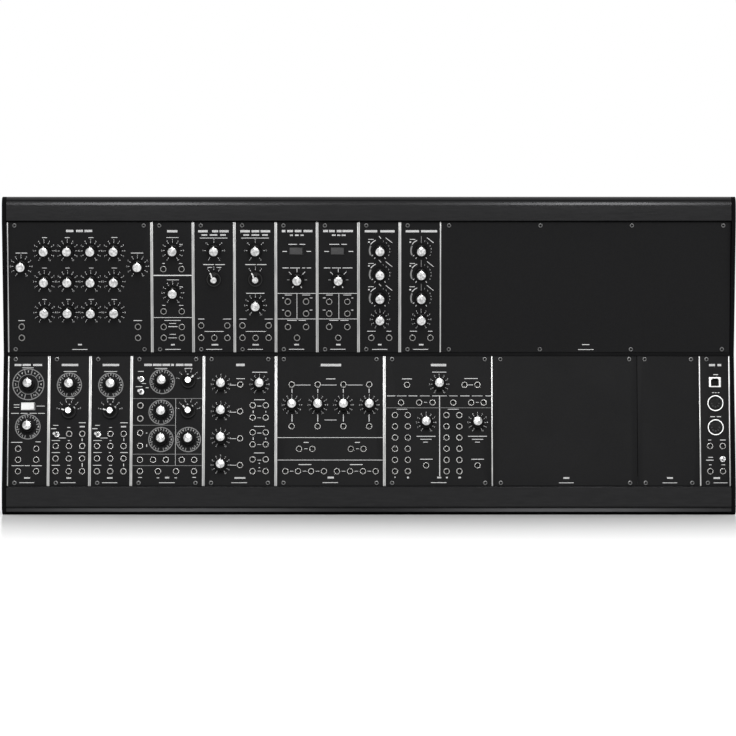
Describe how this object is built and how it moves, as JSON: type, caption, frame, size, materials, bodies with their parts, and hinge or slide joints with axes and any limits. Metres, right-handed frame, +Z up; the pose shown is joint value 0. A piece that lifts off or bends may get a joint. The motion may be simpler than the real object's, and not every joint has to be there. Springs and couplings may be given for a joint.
{
  "type": "modular synthesizer",
  "caption": "Modular synthesizer in a concave desktop case, with removable module panels that carry turning knobs, selectors, switches and patch sockets.",
  "frame": {"origin": "on the surface that the case stands on, under the middle of its bounding box", "axes": "+X to the right along the module rows, +Y from the panels towards the back, +Z up"},
  "size_m": [0.72, 0.1058, 0.3123],
  "materials": {
    "case": "fine black powder coat",
    "band": "satin black anodised",
    "rail": "black anodised extrusion",
    "panel": "matt black paint on sheet, with bare edges",
    "board": "solder mask on glass fibre board",
    "knob": "black moulded skirt with a spun aluminium cap",
    "lever": "bright plated",
    "white_rocker": "moulded, slightly glossy",
    "black_rocker": "moulded, slightly glossy"
  },
  "bodies": {
    "case": {"upper_front_rail": "band", "lower_front_rail": "band", "middle_rail": "rail", "left_side_cheek": "case", "right_side_cheek": "case", "rear_shell": "case", "power_bus_board": "board", "filter_bank_module": "panel", "dual_filter_module": "panel", "high_pass_module": "panel", "low_pass_module": "panel", "amplifier_1_module": "panel", "amplifier_2_module": "panel", "envelope_1_module": "panel", "envelope_2_module": "panel", "wide_blank_panel": "panel", "oscillator_driver_module": "panel", "oscillator_1_module": "panel", "oscillator_2_module": "panel", "voltage_oscillator_module": "panel", "mixer_module": "panel", "attenuator_module": "panel", "interface_module": "panel", "middle_blank_panel": "panel", "narrow_blank_panel": "panel", "computer_interface_module": "panel"},
    "power_rocker": {"power_rocker": "black_rocker"},
    "filter_bank_low_band_knob": {"filter_bank_low_band_knob": "knob"},
    "filter_bank_high_band_knob": {"filter_bank_high_band_knob": "knob"},
    "dual_filter_upper_knob": {"dual_filter_upper_knob": "knob"},
    "dual_filter_lower_knob": {"dual_filter_lower_knob": "knob"},
    "high_pass_knob": {"high_pass_knob": "knob"},
    "high_pass_selector": {"high_pass_selector": "knob"},
    "low_pass_frequency_knob": {"low_pass_frequency_knob": "knob"},
    "low_pass_resonance_knob": {"low_pass_resonance_knob": "knob"},
    "low_pass_selector": {"low_pass_selector": "knob"},
    "amplifier_1_knob": {"amplifier_1_knob": "knob"},
    "amplifier_1_rocker": {"amplifier_1_rocker": "black_rocker"},
    "amplifier_2_knob": {"amplifier_2_knob": "knob"},
    "amplifier_2_rocker": {"amplifier_2_rocker": "black_rocker"},
    "envelope_1_attack_knob": {"envelope_1_attack_knob": "knob"},
    "envelope_2_attack_knob": {"envelope_2_attack_knob": "knob"},
    "oscillator_driver_frequency_knob": {"oscillator_driver_frequency_knob": "knob"},
    "oscillator_driver_width_knob": {"oscillator_driver_width_knob": "knob"},
    "oscillator_driver_rocker": {"oscillator_driver_rocker": "white_rocker"},
    "oscillator_1_knob": {"oscillator_1_knob": "knob"},
    "oscillator_1_selector": {"oscillator_1_selector": "knob"},
    "oscillator_1_toggle": {"oscillator_1_toggle": "lever"},
    "oscillator_2_knob": {"oscillator_2_knob": "knob"},
    "oscillator_2_selector": {"oscillator_2_selector": "knob"},
    "oscillator_2_toggle": {"oscillator_2_toggle": "lever"},
    "voltage_oscillator_frequency_knob": {"voltage_oscillator_frequency_knob": "knob"},
    "voltage_oscillator_range_selector": {"voltage_oscillator_range_selector": "knob"},
    "voltage_oscillator_wave_selector": {"voltage_oscillator_wave_selector": "knob"},
    "voltage_oscillator_upper_toggle": {"voltage_oscillator_upper_toggle": "lever"},
    "voltage_oscillator_lower_toggle": {"voltage_oscillator_lower_toggle": "lever"},
    "mixer_first_level_knob": {"mixer_first_level_knob": "knob"},
    "attenuator_first_level_knob": {"attenuator_first_level_knob": "knob"},
    "interface_level_knob": {"interface_level_knob": "knob"},
    "computer_interface_toggle": {"computer_interface_toggle": "lever"}
  },
  "joints": [
    {"name": "power_rocker_rock", "type": "hinge", "parent": "case", "child": "power_rocker", "pos_m": [0.28448, 0.04821, 0.1576], "axis": [0, 0, 1], "range_deg": [0, 18]},
    {"name": "filter_bank_low_band_knob_turn", "type": "hinge", "parent": "case", "child": "filter_bank_low_band_knob", "pos_m": [-0.3418, -0.03692, 0.24394], "axis": [0, 0.9914, 0.1305], "range_deg": [-150, 150]},
    {"name": "filter_bank_high_band_knob_turn", "type": "hinge", "parent": "case", "child": "filter_bank_high_band_knob", "pos_m": [-0.2273, -0.03692, 0.24394], "axis": [0, 0.9914, 0.1305], "range_deg": [-150, 150]},
    {"name": "dual_filter_upper_knob_turn", "type": "hinge", "parent": "case", "child": "dual_filter_upper_knob", "pos_m": [-0.19284, -0.03895, 0.25936], "axis": [0, 0.9914, 0.1305], "range_deg": [-150, 150]},
    {"name": "dual_filter_lower_knob_turn", "type": "hinge", "parent": "case", "child": "dual_filter_lower_knob", "pos_m": [-0.19284, -0.0335, 0.21795], "axis": [0, 0.9914, 0.1305], "range_deg": [-150, 150]},
    {"name": "high_pass_knob_turn", "type": "hinge", "parent": "case", "child": "high_pass_knob", "pos_m": [-0.1522, -0.03895, 0.25936], "axis": [0, 0.9914, 0.1305], "range_deg": [-150, 150]},
    {"name": "high_pass_selector_turn", "type": "hinge", "parent": "case", "child": "high_pass_selector", "pos_m": [-0.1524, -0.03526, 0.23133], "axis": [0, 0.9914, 0.1305], "range_deg": [0, 60]},
    {"name": "low_pass_frequency_knob_turn", "type": "hinge", "parent": "case", "child": "low_pass_frequency_knob", "pos_m": [-0.11156, -0.03895, 0.25936], "axis": [0, 0.9914, 0.1305], "range_deg": [-150, 150]},
    {"name": "low_pass_resonance_knob_turn", "type": "hinge", "parent": "case", "child": "low_pass_resonance_knob", "pos_m": [-0.11156, -0.03188, 0.20559], "axis": [0, 0.9914, 0.1305], "range_deg": [-150, 150]},
    {"name": "low_pass_selector_turn", "type": "hinge", "parent": "case", "child": "low_pass_selector", "pos_m": [-0.11156, -0.03526, 0.23133], "axis": [0, 0.9914, 0.1305], "range_deg": [0, 60]},
    {"name": "amplifier_1_knob_turn", "type": "hinge", "parent": "case", "child": "amplifier_1_knob", "pos_m": [-0.07063, -0.03518, 0.23069], "axis": [0, 0.9914, 0.1305], "range_deg": [-150, 150]},
    {"name": "amplifier_1_rocker_rock", "type": "hinge", "parent": "case", "child": "amplifier_1_rocker", "pos_m": [-0.07112, -0.03742, 0.25917], "axis": [0, -0.1305, 0.9914], "range_deg": [0, 18]},
    {"name": "amplifier_2_knob_turn", "type": "hinge", "parent": "case", "child": "amplifier_2_knob", "pos_m": [-0.02999, -0.03518, 0.23069], "axis": [0, 0.9914, 0.1305], "range_deg": [-150, 150]},
    {"name": "amplifier_2_rocker_rock", "type": "hinge", "parent": "case", "child": "amplifier_2_rocker", "pos_m": [-0.03048, -0.03742, 0.25917], "axis": [0, -0.1305, 0.9914], "range_deg": [0, 18]},
    {"name": "envelope_1_attack_knob_turn", "type": "hinge", "parent": "case", "child": "envelope_1_attack_knob", "pos_m": [0.01089, -0.03895, 0.25936], "axis": [0, 0.9914, 0.1305], "range_deg": [-150, 150]},
    {"name": "envelope_2_attack_knob_turn", "type": "hinge", "parent": "case", "child": "envelope_2_attack_knob", "pos_m": [0.05153, -0.03895, 0.25936], "axis": [0, 0.9914, 0.1305], "range_deg": [-150, 150]},
    {"name": "oscillator_driver_frequency_knob_turn", "type": "hinge", "parent": "case", "child": "oscillator_driver_frequency_knob", "pos_m": [-0.33552, -0.02946, 0.12795], "axis": [0, 0.9914, -0.1305], "range_deg": [-150, 150]},
    {"name": "oscillator_driver_width_knob_turn", "type": "hinge", "parent": "case", "child": "oscillator_driver_width_knob", "pos_m": [-0.33556, -0.03493, 0.08642], "axis": [0, 0.9914, -0.1305], "range_deg": [-150, 150]},
    {"name": "oscillator_driver_rocker_rock", "type": "hinge", "parent": "case", "child": "oscillator_driver_rocker", "pos_m": [-0.33528, -0.03082, 0.1061], "axis": [0, 0.1305, 0.9914], "range_deg": [0, 18]},
    {"name": "oscillator_1_knob_turn", "type": "hinge", "parent": "case", "child": "oscillator_1_knob", "pos_m": [-0.29484, -0.02949, 0.1277], "axis": [0, 0.9914, -0.1305], "range_deg": [-150, 150]},
    {"name": "oscillator_1_selector_turn", "type": "hinge", "parent": "case", "child": "oscillator_1_selector", "pos_m": [-0.29517, -0.03297, 0.10133], "axis": [0, 0.9914, -0.1305], "range_deg": [0, 150]},
    {"name": "oscillator_1_toggle_throw", "type": "hinge", "parent": "case", "child": "oscillator_1_toggle", "pos_m": [-0.30671, -0.03696, 0.07865], "axis": [0, 0.1305, 0.9914], "range_deg": [0, 24]},
    {"name": "oscillator_2_knob_turn", "type": "hinge", "parent": "case", "child": "oscillator_2_knob", "pos_m": [-0.25408, -0.02949, 0.1277], "axis": [0, 0.9914, -0.1305], "range_deg": [-150, 150]},
    {"name": "oscillator_2_selector_turn", "type": "hinge", "parent": "case", "child": "oscillator_2_selector", "pos_m": [-0.25441, -0.03297, 0.10133], "axis": [0, 0.9914, -0.1305], "range_deg": [0, 150]},
    {"name": "oscillator_2_toggle_throw", "type": "hinge", "parent": "case", "child": "oscillator_2_toggle", "pos_m": [-0.26607, -0.03696, 0.07865], "axis": [0, 0.1305, 0.9914], "range_deg": [0, 24]},
    {"name": "voltage_oscillator_frequency_knob_turn", "type": "hinge", "parent": "case", "child": "voltage_oscillator_frequency_knob", "pos_m": [-0.20381, -0.02907, 0.13088], "axis": [0, 0.9914, -0.1305], "range_deg": [-150, 150]},
    {"name": "voltage_oscillator_range_selector_turn", "type": "hinge", "parent": "case", "child": "voltage_oscillator_range_selector", "pos_m": [-0.17778, -0.02904, 0.13114], "axis": [0, 0.9914, -0.1305], "range_deg": [-120, 30]},
    {"name": "voltage_oscillator_wave_selector_turn", "type": "hinge", "parent": "case", "child": "voltage_oscillator_wave_selector", "pos_m": [-0.17778, -0.03293, 0.10158], "axis": [0, 0.9914, -0.1305], "range_deg": [-30, 120]},
    {"name": "voltage_oscillator_upper_toggle_throw", "type": "hinge", "parent": "case", "child": "voltage_oscillator_upper_toggle", "pos_m": [-0.22394, -0.02981, 0.13293], "axis": [0, 0.1305, 0.9914], "range_deg": [0, 24]},
    {"name": "voltage_oscillator_lower_toggle_throw", "type": "hinge", "parent": "case", "child": "voltage_oscillator_lower_toggle", "pos_m": [-0.22394, -0.03144, 0.12057], "axis": [0, 0.1305, 0.9914], "range_deg": [0, 24]},
    {"name": "mixer_first_level_knob_turn", "type": "hinge", "parent": "case", "child": "mixer_first_level_knob", "pos_m": [-0.14563, -0.02946, 0.12795], "axis": [0, 0.9914, -0.1305], "range_deg": [-150, 150]},
    {"name": "attenuator_first_level_knob_turn", "type": "hinge", "parent": "case", "child": "attenuator_first_level_knob", "pos_m": [-0.07576, -0.03213, 0.1077], "axis": [0, 0.9914, -0.1305], "range_deg": [-150, 150]},
    {"name": "interface_level_knob_turn", "type": "hinge", "parent": "case", "child": "interface_level_knob", "pos_m": [0.06933, -0.02944, 0.12808], "axis": [0, 0.9914, -0.1305], "range_deg": [-150, 150]},
    {"name": "computer_interface_toggle_throw", "type": "hinge", "parent": "case", "child": "computer_interface_toggle", "pos_m": [0.34758, -0.04015, 0.05445], "axis": [0, 0.1305, 0.9914], "range_deg": [0, 24]}
  ]
}
